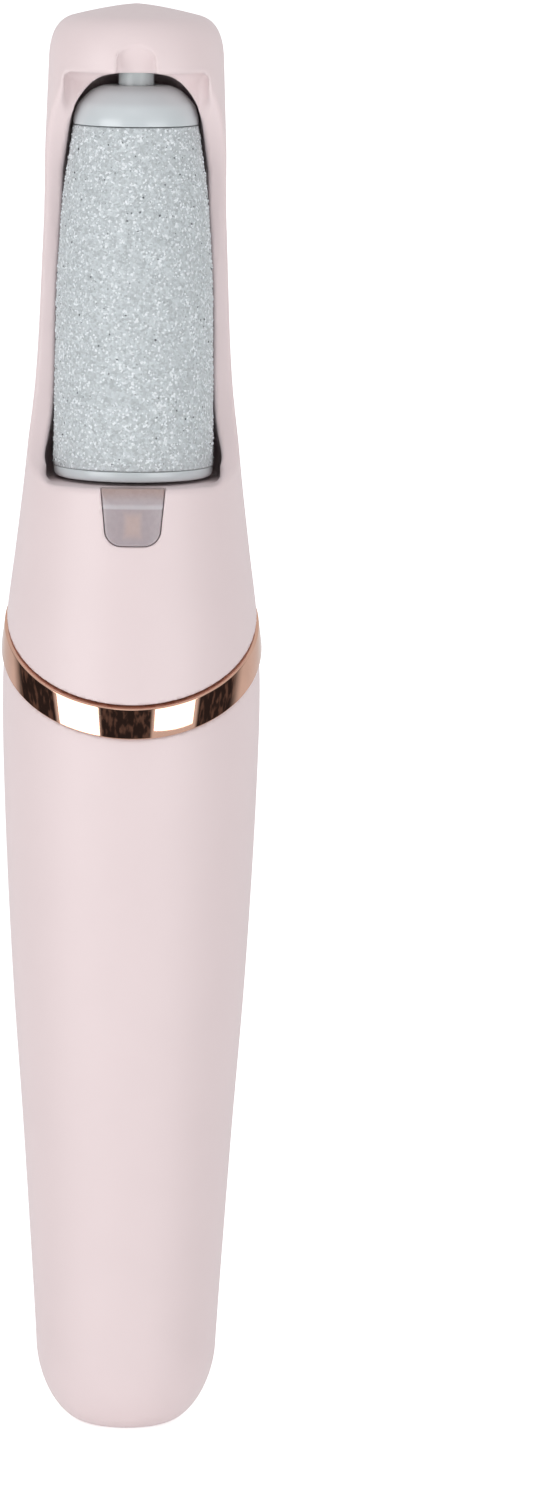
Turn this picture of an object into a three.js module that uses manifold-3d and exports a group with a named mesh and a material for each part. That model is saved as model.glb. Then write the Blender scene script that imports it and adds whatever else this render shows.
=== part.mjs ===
// Electric callus remover: a slim barrel with a motor-driven abrasive roller in a windowed head.
// Millimetres. The origin is the centre of the flat base, +Z runs up the barrel to the crown,
// the roller faces -Y, and +X is on the right of someone who looks at the roller.

import * as THREE from "three";
import { mergeVertices } from "three/addons/utils/BufferGeometryUtils.js";
import Module from "manifold-3d";

const wasm = await Module();
wasm.setup();

// ---- Driving dimensions ----

const TOTAL_HEIGHT = 190;
const GAP = 0.3; // between pieces that touch on the real object
const ROUND = 32; // sides of a large turned piece
const SMALL_ROUND = 16; // sides of a small turned piece

// Outer shells, as radius and height.
const BASE_FLAT_R = 5.5;
const BASE_CORNER = { r: 12.05, z: 11 };
const CORNER_POWER = 1.8;
const BARREL = [[12.05, 11], [12.6, 20], [13.95, 40], [15.45, 60], [16.55, 80], [17.08, 97], [16.75, 106],
  [15.75, 116]];
const CAVITY = [[10.25, 11], [10.8, 20], [12.15, 40], [13.65, 60], [14.7, 78], [14.8, 90], [14.8, 118]];
const HEAD = [[17.33, 88], [17.26, 99], [16.6, 109], [15.5, 118], [14.45, 127], [13.6, 136], [12.95, 145],
  [12.53, 155], [11.97, 170], [11.5, 183]];
const SHOULDER = [[11.4, 185.6], [10.7, 187.7]];
const CROWN = { r: 8.6, z: 188.4, power: 1.4 };
const RING_SIDE = [[17.5, 85], [17.5, 99], [17.4, 102.5], [17.2, 106], [16.8, 109], [16.42, 111],
  [16.08, 114], [15.6, 118], [15.15, 122]];
const RING_INNER_R = 14.85;

// The ring and both shells meet on parallel slanted planes: z = height + SEAM_SLOPE * y.
const SEAM_SLOPE = 0.6;
const RING_TOP = 109.3;
const RING_HEIGHT = 4;
const SPIGOT = { outer: 14.5, inner: 13.65, down: 8, up: 3 };

// Roller window and pocket.
const SILL_Z = 127.4;
const BRIDGE_Z = 181.3;
const WINDOW_FLOOR_Y = -3.5;
const POCKET = [[12, 127.4], [11.9, 130], [11.25, 132.8], [10.85, 136], [10.7, 141], [10.54, 151],
  [10.24, 158], [9.75, 166], [9.4, 171.4], [9.08, 175.1], [8.6, 177.05], [7.25, 179.2], [5.7, 180.6],
  [3.6, 181.3]];
const WINDOW_SIDE = [[9.4, 180.3], [9.5, 172], [9.97, 163], [10.54, 151], [10.7, 141], [10.85, 136],
  [11.2, 132.8], [11.6, 130], [11.6, 128.3], [10.9, 127.4]];
const WINDOW_TOP_HALF = 8.5;

// The rails beside the window are scooped back, so that half of the roller stands proud. As y and z.
const SCOOP = [[-8.4, 127.9], [-4.8, 129.4], [-2, 131.4], [0.1, 134.2], [1.2, 138], [1.5, 142],
  [1.5, 162], [0.9, 166.5], [-0.6, 170.5], [-2.8, 174.2], [-5.2, 177.6], [-7.2, 180.4]];

// Roller.
const ROLLER_Z0 = 127.8;
const SLEEVE_Z0 = 129.3;
const SLEEVE_Z1 = 174.1;
const SLEEVE = [[10.58, 129.3], [10.49, 137.6], [10.33, 151], [10.04, 157.6], [9.5, 165], [8.67, 171],
  [8.25, 174.1]];
const SLEEVE_BORE = [[9.38, 129.3], [9.1, 151], [7.05, 174.1]];
const CAP = [[8.25, 174.25], [8.15, 175.4], [7.7, 176.7], [7.1, 177.5], [5.9, 178.6], [4.6, 179.2],
  [3.7, 179.3]];
const STUB_R = 2.325;
const STUB_TOP = 184.2;
const COLLAR = { r: 3.3, z0: 169.8, z1: 171 };

// Planetary gearbox: sun and planets of 12 teeth in a ring of 36, so the carrier turns once in 4.
const GEAR_MODULE = 0.6;
const SUN_TEETH = 12;
const PLANET_TEETH = 12;
const RING_TEETH = SUN_TEETH + 2 * PLANET_TEETH;
const PRESSURE_ANGLE = THREE.MathUtils.degToRad(22);
const BACKLASH = 0.12;
const GEAR_Z0 = 102.3;
const GEAR_Z1 = 109.7;
const CASE_R = 13.2;
const SCREW_CIRCLE = 12.45;
const SCREW_HOLE = 0.6;
const CASE_Z0 = 98.6;
const CASE_Z1 = 113;
const CARRIER_Z0 = 110.3;
const CARRIER_Z1 = 112.3;

// Motor.
const MOTOR_R = 10.2;
const MOTOR_HALF_FLAT = 7.7;
const MOTOR_Z0 = 70;
const MOTOR_Z1 = 98.3;
const MOTOR_SCREW_X = 7.6;
const MOTOR_SCREW_HOLE = 0.75;
const SHAFT_R = 1;

// Handle contents.
const CELL_R = 7.1;
const CELL_Z0 = 15;
const CELL_Z1 = 64;
const CELL_Y = -2;
const BOARD_Y = 6.6;
const BOARD_THICK = 1;
const WIRE_R = 0.35;

// Power switch on the back of the barrel, in a frame that leans with the barrel's side.
const SWITCH = { y: 14.85, z: 62, lean: Math.atan(0.06), travel: 5 };
const SWITCH_WELL = { width: 7.4, length: 18 };

// Lamp under the window.
const LENS = { top: 4.15, bottom: 3.45, z0: 120, corner: 1.9, back: -11.6 };

const COLOUR = {
  shell: 0xecdad8, ring: 0xc98f74, lens: 0xc9bcc0, abrasive: 0xc3c8cb, roller_plastic: 0xbcc5c9,
  stub: 0xd7dee0, white_plastic: 0xe8e8e4, black_plastic: 0x2a2a2c, steel: 0xb4b6b8, brass: 0xc2a35a,
  board: 0x1f6b43, cell: 0x3c6fae, copper: 0xb8673c, rubber: 0x3a3a3c, red: 0xb52a2a, black: 0x1d1d1f,
};

// ---- Helpers ----

const X = new THREE.Vector3(1, 0, 0);
const Y = new THREE.Vector3(0, 1, 0);
const Z = new THREE.Vector3(0, 0, 1);
const part = new THREE.Group();

// A closed geometry as a solid of the boolean library, with its faces out.
function solid(geometry) {
  const bare = geometry.clone();
  bare.deleteAttribute("normal");
  bare.deleteAttribute("uv");
  const merged = mergeVertices(bare, 1e-4);
  const triVerts = new Uint32Array(merged.index.array);
  const vertProperties = new Float32Array(merged.attributes.position.array);
  return new wasm.Manifold(new wasm.Mesh({ numProp: 3, vertProperties, triVerts }));
}

function geometryOf(body) {
  const mesh = body.getMesh();
  const geometry = new THREE.BufferGeometry();
  geometry.setAttribute("position", new THREE.BufferAttribute(new Float32Array(mesh.vertProperties), 3));
  geometry.setIndex(new THREE.BufferAttribute(new Uint32Array(mesh.triVerts), 1));
  return geometry;
}

// Adds one named piece; `body` is a geometry or a solid.
function add(name, body, colour, { roughness = 0.5, metalness = 0, group = part } = {}) {
  const geometry = body.isBufferGeometry ? body : geometryOf(body);
  const material = new THREE.MeshStandardMaterial({ color: COLOUR[colour], roughness, metalness });
  const mesh = new THREE.Mesh(geometry, material);
  mesh.name = name;
  group.add(mesh);
  return mesh;
}

// Turns a profile of [radius, height] pairs about Z. The profile runs up the outside.
function turned(profile, sides = ROUND) {
  const points = profile.map(([r, z]) => new THREE.Vector2(r, z));
  return new THREE.LatheGeometry(points, sides).rotateX(Math.PI / 2);
}

// A ring between two radii and two heights.
function tube(inner, outer, z0, z1, sides = SMALL_ROUND) {
  return turned([[inner, z0], [outer, z0], [outer, z1], [inner, z1], [inner, z0]], sides);
}

function rod(radius, z0, z1, sides = SMALL_ROUND) {
  return turned([[0, z0], [radius, z0], [radius, z1], [0, z1]], sides);
}

function block(x0, x1, y0, y1, z0, z1) {
  const box = new THREE.BoxGeometry(x1 - x0, y1 - y0, z1 - z0);
  return box.translate((x0 + x1) / 2, (y0 + y1) / 2, (z0 + z1) / 2);
}

function extruded(outline, depth) {
  const drawn = (points) => new THREE.Shape(points.map(([a, b]) => new THREE.Vector2(a, b)));
  const shape = Array.isArray(outline) ? drawn(outline) : outline;
  return new THREE.ExtrudeGeometry(shape, { depth, bevelEnabled: false, curveSegments: 5 });
}

const atAngle = (radius, angle) => [radius * Math.cos(angle), radius * Math.sin(angle)];

// Prisms: an outline in XY raised from z0 to z1, in YZ run along X, and in XZ run along Y.
const prismZ = (outline, z0, z1) => extruded(outline, z1 - z0).translate(0, 0, z0);
const ALONG_X = new THREE.Matrix4().makeBasis(Y, Z, X);
const ALONG_Y = new THREE.Matrix4().makeBasis(X, Z, Y.clone().negate());
const prismX = (outline, x0, x1) => extruded(outline, x1 - x0).applyMatrix4(ALONG_X).translate(x0, 0, 0);
const prismY = (outline, y0, y1) => extruded(outline, y1 - y0).applyMatrix4(ALONG_Y).translate(0, y1, 0);

// A smooth curve through [radius, height] pairs.
function smooth(pairs, steps) {
  const curve = new THREE.SplineCurve(pairs.map(([r, z]) => new THREE.Vector2(r, z)));
  return curve.getPoints(steps).map((p) => [p.x, p.y]);
}

// A quarter turn from [r0, z0] to [r1, z1], fuller or flatter than an ellipse by its power.
function corner(r0, z0, r1, z1, power, steps = 5) {
  return Array.from({ length: steps + 1 }, (_, i) => {
    const angle = (i / steps) * (Math.PI / 2);
    return [r1 + (r0 - r1) * Math.cos(angle) ** (2 / power), z0 + (z1 - z0) * Math.sin(angle) ** (2 / power)];
  });
}

const inward = (pairs, by) => pairs.map(([r, z]) => [r - by, z]);

// The space between two of the slanted seam planes, given by their heights on the axis.
function slantedSlab(low, high) {
  const reach = 40;
  const at = (y, z) => [y, z + SEAM_SLOPE * y];
  return solid(prismX([at(-reach, low), at(reach, low), at(reach, high), at(-reach, high)], -reach, reach));
}

function wire(name, colour, points) {
  const curve = new THREE.CatmullRomCurve3(points.map((p) => new THREE.Vector3(...p)));
  const corners = Array.from({ length: 6 }, (_, i) => atAngle(WIRE_R, (i * Math.PI) / 3));
  const section = new THREE.Shape(corners.map((pair) => new THREE.Vector2(...pair)));
  const steps = 2 * (points.length - 1);
  const geometry = new THREE.ExtrudeGeometry(section, { steps, extrudePath: curve, bevelEnabled: false });
  add(name, geometry, colour, { roughness: 0.6 });
}

// A small pan-head screw along Z, head end at z, shank going the way of `sign`.
function screw(name, x, y, z, { head = 1, shank = 0.45, length = 6, sign = 1, headHeight = 0.9 }) {
  const profile = [[0, 0], [head, 0], [head, headHeight], [shank, headHeight], [shank, length], [0, length]];
  const slot = solid(block(-2 * head, 2 * head, -0.15, 0.15, -1, 0.35));
  const body = solid(turned(profile, 10)).subtract(slot);
  const mesh = add(name, body, "steel", { roughness: 0.35, metalness: 1 });
  mesh.position.set(x, y, z);
  if (sign < 0) mesh.rotation.x = Math.PI;
}

// ---- Outer shells ----

function handleHousing() {
  const outer = [...corner(BASE_CORNER.r, BASE_CORNER.z, BASE_FLAT_R, 0, CORNER_POWER).reverse(),
    ...smooth(BARREL, 7).slice(1)];
  const inner = [...corner(...CAVITY[0], BASE_FLAT_R - 1, 2, CORNER_POWER, 3).reverse(),
    ...smooth(CAVITY, 5).slice(1)];
  const shell = solid(turned([[0, 0], ...outer, ...inner.reverse(), [0, 2]]));
  const aboveSeam = slantedSlab(RING_TOP - RING_HEIGHT - GAP, RING_TOP + 60);
  const portHole = solid(block(-4, 4, -1.65, 1.65, -1, 3));
  const pipeHole = solid(rod(0.95, 0, 6, 10).rotateX(-Math.PI / 2).translate(0, 11, 46));
  const { width, length } = SWITCH_WELL;
  const well = solid(prismY(capsule(width, length), 0, 4)).add(solid(prismY(capsule(2.8, 11), -4, 1)));
  return shell.subtract(aboveSeam).subtract(portHole).subtract(pipeHole).subtract(leaning(well));
}

// A vertical outline with round ends, centred on the origin.
function capsule(width, length) {
  const r = width / 2;
  const straight = length / 2 - r;
  const shape = new THREE.Shape();
  shape.moveTo(r, -straight).lineTo(r, straight).absarc(0, straight, r, 0, Math.PI, false);
  shape.lineTo(-r, -straight).absarc(0, -straight, r, Math.PI, 2 * Math.PI, false);
  return shape;
}

// Moves a solid from the switch's own frame to the part's.
function leaning(body) {
  const matrix = new THREE.Matrix4().makeRotationX(-SWITCH.lean).setPosition(0, SWITCH.y, SWITCH.z);
  return body.transform(matrix.elements);
}

function accentRing() {
  const bevel = 0.35;
  const low = RING_TOP - RING_HEIGHT;
  const inside = [[RING_INNER_R, RING_SIDE.at(-1)[1]], [RING_INNER_R, RING_SIDE[0][1]]];
  const band = solid(turned([...RING_SIDE, ...inside, RING_SIDE[0]]));
  const bare = inward(RING_SIDE, bevel);
  const trim = solid(turned([...bare, ...inside, bare[0]]));
  const middle = band.intersect(slantedSlab(low + bevel, RING_TOP - bevel));
  return middle.add(trim.intersect(slantedSlab(low, RING_TOP)));
}

function crown() {
  const { r, z, power } = CROWN;
  const bends = [HEAD.at(-1), ...SHOULDER, [r, z]].map((pair) => new THREE.Vector2(...pair));
  const shoulder = new THREE.CubicBezierCurve(...bends);
  const dome = [0.75, 0.5, 0.25, 0].map((k) => [r * k, TOTAL_HEIGHT - (TOTAL_HEIGHT - z) * k ** power]);
  return [...shoulder.getPoints(4).slice(1).map((p) => [p.x, p.y]), ...dome];
}

const headOutside = () => solid(turned([[0, HEAD[0][1]], ...smooth(HEAD, 10), ...crown()]));

function windowOutline() {
  const top = [WINDOW_TOP_HALF, BRIDGE_Z];
  const right = [top, ...WINDOW_SIDE];
  return [...right.map(([x, z]) => [-x, z]), ...right.reverse()];
}

// The lamp lens seen from the front: flat top on the sill, drawn-in sides and a round foot.
function lensOutline(clearance) {
  const { top, bottom, z0, corner: r } = LENS;
  const low = z0 - clearance;
  const foot = bottom + clearance;
  const above = SILL_Z + 3;
  const shape = new THREE.Shape();
  shape.moveTo(-top - clearance, SILL_Z).lineTo(-foot, low + r);
  shape.quadraticCurveTo(-foot, low, -foot + r, low).lineTo(foot - r, low);
  shape.quadraticCurveTo(foot, low, foot, low + r).lineTo(top + clearance, SILL_Z);
  if (clearance > 0) shape.lineTo(top + clearance, above).lineTo(-top - clearance, above);
  return shape;
}

// Lead-in groove that the axle stub slides along when the roller is clicked in.
function bridgeGroove() {
  const half = 2.5;
  const arch = new THREE.Shape();
  arch.moveTo(-half, 179).lineTo(half, 179).lineTo(half, 182.7).absarc(0, 182.7, half, 0, Math.PI, false);
  const ramp = [[-14, 179], [-8.2, 179], [-8.6, BRIDGE_Z], [-11.4, 185.4], [-14, 185.4]];
  return solid(prismY(arch, -14, -6)).intersect(solid(prismX(ramp, -4, 4)));
}

function headHousing() {
  const floor = SILL_Z - 2.2;
  const hollow = [[0, 80], [14.2, 80], [14.2, 113], [13.7, 118], [13.1, 123], [12.4, floor], [0, floor]];
  const pocket = [[0, SILL_Z], ...POCKET, [0, BRIDGE_Z]];
  const axle = rod(3.7, BRIDGE_Z - 1, 185.2);
  const scoop = [[-20, SCOOP[0][1]], ...SCOOP, [-20, SCOOP.at(-1)[1]]];
  const spigot = solid(tube(SPIGOT.inner, SPIGOT.outer, 80, 135, ROUND))
    .intersect(slantedSlab(RING_TOP - SPIGOT.down, RING_TOP + SPIGOT.up));
  return headOutside()
    .subtract(solid(turned(hollow)))
    .subtract(slantedSlab(RING_TOP - 80, RING_TOP + GAP))
    .add(spigot)
    .subtract(solid(block(-2, 2, -15.2, -13, 80, 106)))
    .subtract(solid(turned(pocket)))
    .subtract(solid(prismY(windowOutline(), -20, WINDOW_FLOOR_Y)))
    .subtract(solid(prismX(scoop, -20, 20)))
    .subtract(solid(prismY(lensOutline(0.15), -20, LENS.back + GAP)))
    .subtract(solid(axle))
    .subtract(solid(rod(5.8, floor - 1, SILL_Z + 1)))
    .subtract(bridgeGroove());
}

// The lens fills its cut-out, flush with the head, and its upper edge is chamfered back to the sill.
function ledLens() {
  const chamfer = [[-16, 124.9], [-14.75, 124.9], [-13.6, SILL_Z], [-13.6, 130], [-16, 130]];
  const body = solid(prismY(lensOutline(0), -20, LENS.back)).intersect(headOutside());
  return body.subtract(solid(prismX(chamfer, -9, 9)));
}

function lamp() {
  add("led_lens", ledLens(), "lens", { roughness: 0.45 });
  add("led_board", block(-4, 4, -10.9, -10.1, 117.4, 124.6), "board");
  add("work_led", block(-1.4, 1.4, -11.5, -11, 121.4, 124), "white_plastic");
}

function shells() {
  add("handle_housing", handleHousing(), "shell", { roughness: 0.45 });
  add("accent_ring", accentRing(), "ring", { roughness: 0.12, metalness: 1 });
  add("head_housing", headHousing(), "shell", { roughness: 0.45 });
  add("top_bush", tube(STUB_R + 0.12, 3.5, BRIDGE_Z + 0.1, 184.6), "white_plastic");
  add("spindle_seal", tube(3.2, 5.5, SILL_Z - 2, SILL_Z - 0.3), "rubber", { roughness: 0.8 });
}

// ---- Roller ----

function rollerCore() {
  const outside = [[0, SLEEVE_Z0], ...inward(SLEEVE_BORE, 0.15), [0, SLEEVE_Z1]];
  return solid(turned(outside))
    .subtract(solid(rod(5.3, SLEEVE_Z0 - 1, 137)))
    .subtract(solid(rod(3.6, 160, 171.2)))
    .subtract(solid(rod(2.6, 171, 175)));
}

function spring(radius, wireRadius, z0, z1, turns) {
  class Helix extends THREE.Curve {
    getPoint(t, target = new THREE.Vector3()) {
      const angle = t * turns * 2 * Math.PI;
      return target.set(radius * Math.cos(angle), radius * Math.sin(angle), z0 + t * (z1 - z0));
    }
  }
  const section = new THREE.Shape().absarc(0, 0, wireRadius, 0, 2 * Math.PI, false);
  const settings = { steps: turns * 8, extrudePath: new Helix(), bevelEnabled: false, curveSegments: 3 };
  return new THREE.ExtrudeGeometry(section, settings);
}

function hexagon(acrossFlats) {
  return Array.from({ length: 6 }, (_, i) => atAngle(acrossFlats / Math.sqrt(3), (i * Math.PI) / 3));
}

function roller() {
  const sleeve = smooth(SLEEVE, 7);
  const grit = turned([...sleeve, ...[...SLEEVE_BORE].reverse(), sleeve[0]]);
  add("abrasive_sleeve", grit, "abrasive", { roughness: 0.9 });
  add("roller_core", rollerCore(), "roller_plastic");
  const ring = [[4.5, ROLLER_Z0], [10.05, ROLLER_Z0], [10.5, ROLLER_Z0 + 0.5], [10.5, SLEEVE_Z0 - 0.1],
    [4.5, SLEEVE_Z0 - 0.1], [4.5, ROLLER_Z0]];
  add("roller_lower_ring", turned(ring, 28), "roller_plastic");
  const dome = [[2.55, CAP[0][1]], ...smooth(CAP, 6), [2.55, CAP.at(-1)[1]], [2.55, CAP[0][1]]];
  add("roller_top_cap", turned(dome, 24), "roller_plastic");
  const socket = solid(rod(5.1, SLEEVE_Z0 + 0.2, 136.8));
  const drive = solid(prismZ(hexagon(5.3), SLEEVE_Z0, 135.5));
  add("drive_socket", socket.subtract(drive), "black_plastic");
  add("plunger_spring", spring(2.4, 0.3, 160.6, 169.2, 5), "steel", { roughness: 0.3, metalness: 1 });
  const stub = [[0, COLLAR.z0], [COLLAR.r, COLLAR.z0], [COLLAR.r, COLLAR.z1], [STUB_R, COLLAR.z1],
    [STUB_R, STUB_TOP - 0.5], [STUB_R - 0.5, STUB_TOP], [0, STUB_TOP]];
  add("axle_plunger", turned(stub, 20), "stub", { roughness: 0.4 });
}

// ---- Gearbox ----

// Outline of a gear: `tip` and `root` radii, and the play that thins (or, below 0, thickens) each tooth.
function gearOutline(teeth, tip, root, play, phase) {
  const pitch = (GEAR_MODULE * teeth) / 2;
  const base = pitch * Math.cos(PRESSURE_ANGLE);
  const involute = (r) => {
    const angle = Math.acos(Math.min(1, base / Math.max(r, base)));
    return Math.tan(angle) - angle;
  };
  const half = (r) => Math.PI / (2 * teeth) - play / (2 * pitch) + involute(pitch) - involute(r);
  const flank = [root, pitch, tip];
  const outline = [];
  for (let tooth = 0; tooth < teeth; tooth++) {
    const centre = phase + (tooth * 2 * Math.PI) / teeth;
    for (const r of flank) outline.push([r, centre - half(r)]);
    for (const r of [...flank].reverse()) outline.push([r, centre + half(r)]);
  }
  return outline.map(([r, angle]) => [r * Math.cos(angle), r * Math.sin(angle)]);
}

function spurGear(teeth, bore, z0, z1, phase) {
  const pitch = (GEAR_MODULE * teeth) / 2;
  const outline = gearOutline(teeth, pitch + 0.9 * GEAR_MODULE, pitch - 1.25 * GEAR_MODULE, BACKLASH, phase);
  return solid(prismZ(outline, z0, z1)).subtract(solid(rod(bore, z0 - 1, z1 + 1, 16)));
}

const thirds = (start) => Array.from({ length: 3 }, (_, i) => start + (i * 2 * Math.PI) / 3);

function gearboxCase() {
  const pitch = (GEAR_MODULE * RING_TEETH) / 2;
  const spaces = gearOutline(RING_TEETH, pitch + 1.25 * GEAR_MODULE, pitch - 0.9 * GEAR_MODULE, -BACKLASH,
    Math.PI / RING_TEETH);
  const floor = CASE_Z0 + 2.4;
  let body = solid(rod(CASE_R, CASE_Z0, CASE_Z1, ROUND))
    .subtract(solid(prismZ(spaces, floor, GEAR_Z1 + 0.3)))
    .subtract(solid(rod(11.75, GEAR_Z1 + 0.3, CASE_Z1 + 1, ROUND)))
    .subtract(solid(rod(4.7, CASE_Z0 - 1, floor + 1)));
  const drill = (radius, z0, z1, x, y = 0) => {
    body = body.subtract(solid(rod(radius, z0, z1, 8).translate(x, y, 0)));
  };
  for (const angle of thirds(Math.PI / 2)) {
    drill(SCREW_HOLE, CASE_Z1 - 4.6, CASE_Z1 + 1, ...atAngle(SCREW_CIRCLE, angle));
  }
  for (const side of [-1, 1]) {
    drill(MOTOR_SCREW_HOLE, CASE_Z0 - 1, floor + 1, side * MOTOR_SCREW_X);
    drill(1.6, floor - 1.2, floor + 1, side * MOTOR_SCREW_X);
    drill(SCREW_HOLE, CASE_Z0 - 1, CASE_Z0 + 5, side * SCREW_CIRCLE);
  }
  return body;
}

function planetCarrier() {
  let body = solid(tube(3.1, 9.6, CARRIER_Z0, CARRIER_Z1, 24));
  for (const angle of thirds(Math.PI / 2)) {
    const pin = rod(0.95, GEAR_Z0 - 0.6, CARRIER_Z0 + 0.5, 12).translate(...atAngle(planetOrbit(), angle), 0);
    body = body.add(solid(pin));
  }
  return body;
}

const planetOrbit = () => (GEAR_MODULE * (SUN_TEETH + PLANET_TEETH)) / 2;

function gearbox() {
  add("gearbox_case", gearboxCase(), "white_plastic");
  const lid = [[5.3, CASE_Z1 + 0.2], [CASE_R, CASE_Z1 + 0.2], [CASE_R, CASE_Z1 + 2], [6.8, CASE_Z1 + 2],
    [6.8, CASE_Z1 + 3.6], [5.3, CASE_Z1 + 3.6], [5.3, CASE_Z1 + 0.2]];
  let cover = solid(turned(lid)).subtract(solid(block(-1.8, 1.8, -15, -12.8, CASE_Z1, CASE_Z1 + 3)));
  thirds(Math.PI / 2).forEach((angle, i) => {
    const [x, y] = atAngle(SCREW_CIRCLE, angle);
    cover = cover.subtract(solid(rod(SCREW_HOLE, CASE_Z1 - 1, CASE_Z1 + 3, 8).translate(x, y, 0)));
    screw(`gearbox_screw_${i + 1}`, x, y, CASE_Z1 + 3.1, { length: 5.6, sign: -1, head: 1.1 });
  });
  add("gearbox_cover", cover, "white_plastic");
  const bush = tube(3.08, 5.1, CASE_Z1 + 0.2, CASE_Z1 + 3.8);
  add("output_bush", bush, "brass", { roughness: 0.35, metalness: 1 });
  add("planet_carrier", planetCarrier(), "white_plastic");
  thirds(Math.PI / 2).forEach((angle, i) => {
    const gear = spurGear(PLANET_TEETH, 1.08, GEAR_Z0, GEAR_Z1, Math.PI / PLANET_TEETH);
    add(`planet_gear_${i + 1}`, gear, "white_plastic").position.set(...atAngle(planetOrbit(), angle), 0);
  });
  const spindle = solid(rod(2.95, CARRIER_Z0 + 0.2, 127, 24)).add(solid(prismZ(hexagon(4.9), 126, 134.5)));
  add("drive_spindle", spindle, "steel", { roughness: 0.35, metalness: 1 });
}

// ---- Motor ----

// A circle cut by two flats, as the outline of the motor's can.
function flattedCircle(radius, halfFlat) {
  const angle = Math.asin(halfFlat / radius);
  const shape = new THREE.Shape();
  shape.absarc(0, 0, radius, -angle, angle, false);
  shape.absarc(0, 0, radius, Math.PI - angle, Math.PI + angle, false);
  return shape;
}

// Three poles on a hub, as the outline of the iron core.
function coreOutline(clearance) {
  const hub = 2.2 + clearance;
  const shape = new THREE.Shape();
  thirds(0).forEach((angle, i) => {
    const neck = 1.1 + clearance;
    const spread = 0.8 + clearance / 5;
    const turn = (x, y) => atAngle(Math.hypot(x, y), angle + Math.atan2(y, x));
    const start = turn(hub, -neck);
    if (i === 0) shape.moveTo(...start);
    else shape.lineTo(...start);
    shape.lineTo(...turn(5.2 - clearance, -neck)).lineTo(...atAngle(5.7 - clearance, angle - spread));
    shape.lineTo(...atAngle(6.5, angle - spread));
    shape.absarc(0, 0, 6.5, angle - 0.8, angle + 0.8, false);
    shape.lineTo(...atAngle(5.7 - clearance, angle + spread)).lineTo(...turn(5.2 - clearance, neck));
    shape.lineTo(...turn(hub, neck));
  });
  return shape;
}

function motor() {
  const can = solid(prismZ(flattedCircle(MOTOR_R, MOTOR_HALF_FLAT), MOTOR_Z0 + 2.3, MOTOR_Z1))
    .subtract(solid(prismZ(flattedCircle(MOTOR_R - 0.8, MOTOR_HALF_FLAT - 0.8), MOTOR_Z0, MOTOR_Z1 - 1)))
    .subtract(solid(rod(2.2, MOTOR_Z1 - 2, MOTOR_Z1 + 1)));
  const tapping = (x) => solid(rod(MOTOR_SCREW_HOLE, MOTOR_Z1 - 2, MOTOR_Z1 + 1, 8).translate(x, 0, 0));
  const tapped = can.subtract(tapping(-MOTOR_SCREW_X)).subtract(tapping(MOTOR_SCREW_X));
  add("motor_can", tapped, "steel", { roughness: 0.35, metalness: 1 });
  const endCap = solid(prismZ(flattedCircle(MOTOR_R, MOTOR_HALF_FLAT), MOTOR_Z0, MOTOR_Z0 + 2))
    .subtract(solid(rod(1.15, MOTOR_Z0 - 1, MOTOR_Z0 + 3)));
  add("motor_end_cap", endCap, "black_plastic");
  for (const [side, name] of [[0, "motor_magnet_right"], [Math.PI, "motor_magnet_left"]]) {
    const arc = new THREE.Shape();
    arc.absarc(0, 0, 9.1, side - 0.6, side + 0.6, false).absarc(0, 0, 7.2, side + 0.6, side - 0.6, true);
    add(name, prismZ(arc, MOTOR_Z0 + 7, MOTOR_Z1 - 4), "rubber", { roughness: 0.4, metalness: 0.6 });
  }
  for (const [i, x] of [-MOTOR_SCREW_X, MOTOR_SCREW_X].entries()) {
    screw(`motor_screw_${i + 1}`, x, 0, CASE_Z0 + 2.3, { head: 1.4, length: 3.8, sign: -1, headHeight: 1 });
  }
  const shaft = rod(SHAFT_R, MOTOR_Z0 - 0.6, GEAR_Z1 - 0.1);
  add("motor_shaft", shaft, "steel", { roughness: 0.25, metalness: 1 });
  add("sun_pinion", spurGear(SUN_TEETH, SHAFT_R + 0.06, GEAR_Z0, GEAR_Z1 - 0.2, 0), "brass",
    { roughness: 0.35, metalness: 1 });
  const core = solid(prismZ(coreOutline(0), 78.5, 91.5)).subtract(solid(rod(SHAFT_R + 0.06, 77, 93, 16)));
  add("armature_core", core, "steel", { roughness: 0.5, metalness: 1 });
  const winding = solid(tube(1.6, 5.4, 76, 94, 24)).subtract(solid(prismZ(coreOutline(0.15), 78.3, 91.7)));
  add("armature_winding", winding, "copper", { roughness: 0.4, metalness: 0.8 });
  add("commutator", tube(SHAFT_R + 0.06, 2.4, 73, 75.7), "copper", { roughness: 0.3, metalness: 1 });
}

// ---- Handle contents ----

// The chassis fills the barrel beside the cell and the motor, with room cut for each of them.
function innerChassis() {
  const inside = smooth(inward(CAVITY, 0.35), 8);
  const envelope = solid(turned([[0, CAVITY[0][1]], ...inside, [0, CAVITY.at(-1)[1]]]));
  const rails = solid(block(-20, 20, -4, 6, 12, 68.6)).add(solid(block(-20, 20, -5.2, 5.2, 66, 98.2)));
  const [low, high] = [CELL_Z0 - 0.9, CELL_Z1 + 2.2];
  const cellRoom = rod(CELL_R + 0.3, low, high, 24).translate(0, CELL_Y, 0);
  const motorRoom = rod(MOTOR_R + 0.25, MOTOR_Z0 - 0.6, 99, 32);
  let body = envelope.intersect(rails)
    .subtract(solid(cellRoom))
    .subtract(solid(block(-CELL_R + 1, CELL_R - 1, -9, CELL_Y, low, high)))
    .subtract(solid(motorRoom))
    .subtract(solid(block(-5.2, 5.2, 3.4, 7, CELL_Z1, MOTOR_Z0)))
    .subtract(solid(block(-3.2, 3.2, 4.2, 7, 11, 17.2)));
  for (const side of [-1, 1]) {
    const x = side * SCREW_CIRCLE;
    body = body.subtract(solid(rod(SCREW_HOLE, 90, 99, 8).translate(x, 0, 0)));
    body = body.subtract(solid(block(x - 1.6, x + 1.6, -6, 6, 88, 94.6)));
  }
  return body;
}

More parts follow.
